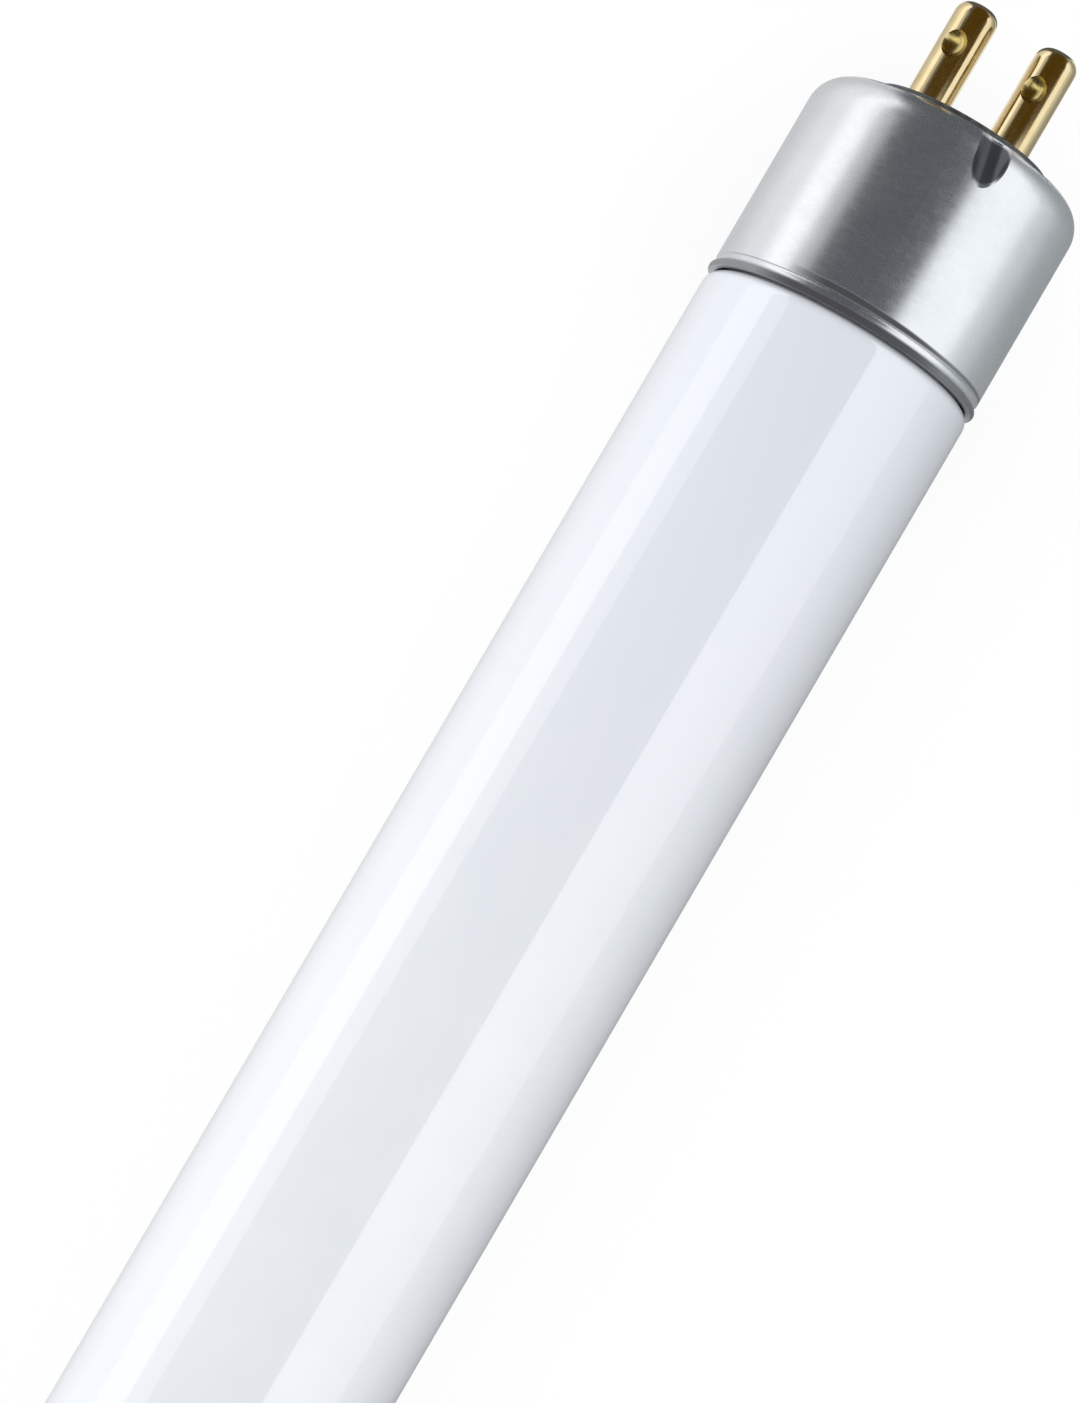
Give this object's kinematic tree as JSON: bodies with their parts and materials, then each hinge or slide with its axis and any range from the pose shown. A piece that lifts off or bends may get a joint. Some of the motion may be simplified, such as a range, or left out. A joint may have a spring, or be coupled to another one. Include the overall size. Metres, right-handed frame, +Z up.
{
  "type": "fluorescent tube",
  "caption": "Slim straight fluorescent lamp: a white coated glass tube closed by metal caps with paired contact pins.",
  "frame": {"origin": "the lamp's centre on its axis, midway between the two cap faces", "axes": "+X along the lamp towards the pins that the picture shows, +Z up; the pins of each cap lie side by side along Y"},
  "size_m": [0.3018, 0.0158, 0.0158],
  "materials": {
    "coated_glass": "gloss over a white inner coating",
    "cap_aluminium": "drawn, satin bright",
    "basing_cement": "matte, grainy",
    "dark_phenolic": "satin",
    "pin_brass": "bright plated",
    "lead_nickel": "satin"
  },
  "bodies": {
    "root": {"glass_bulb": "coated_glass", "front_cap_shell": "cap_aluminium", "front_cement_ring": "basing_cement", "front_insulator": "dark_phenolic", "front_left_pin": "pin_brass", "front_right_pin": "pin_brass", "front_left_lead_wire": "lead_nickel", "front_right_lead_wire": "lead_nickel", "rear_cap_shell": "cap_aluminium", "rear_cement_ring": "basing_cement", "rear_insulator": "dark_phenolic", "rear_left_pin": "pin_brass", "rear_right_pin": "pin_brass", "rear_left_lead_wire": "lead_nickel", "rear_right_lead_wire": "lead_nickel"}
  },
  "joints": []
}
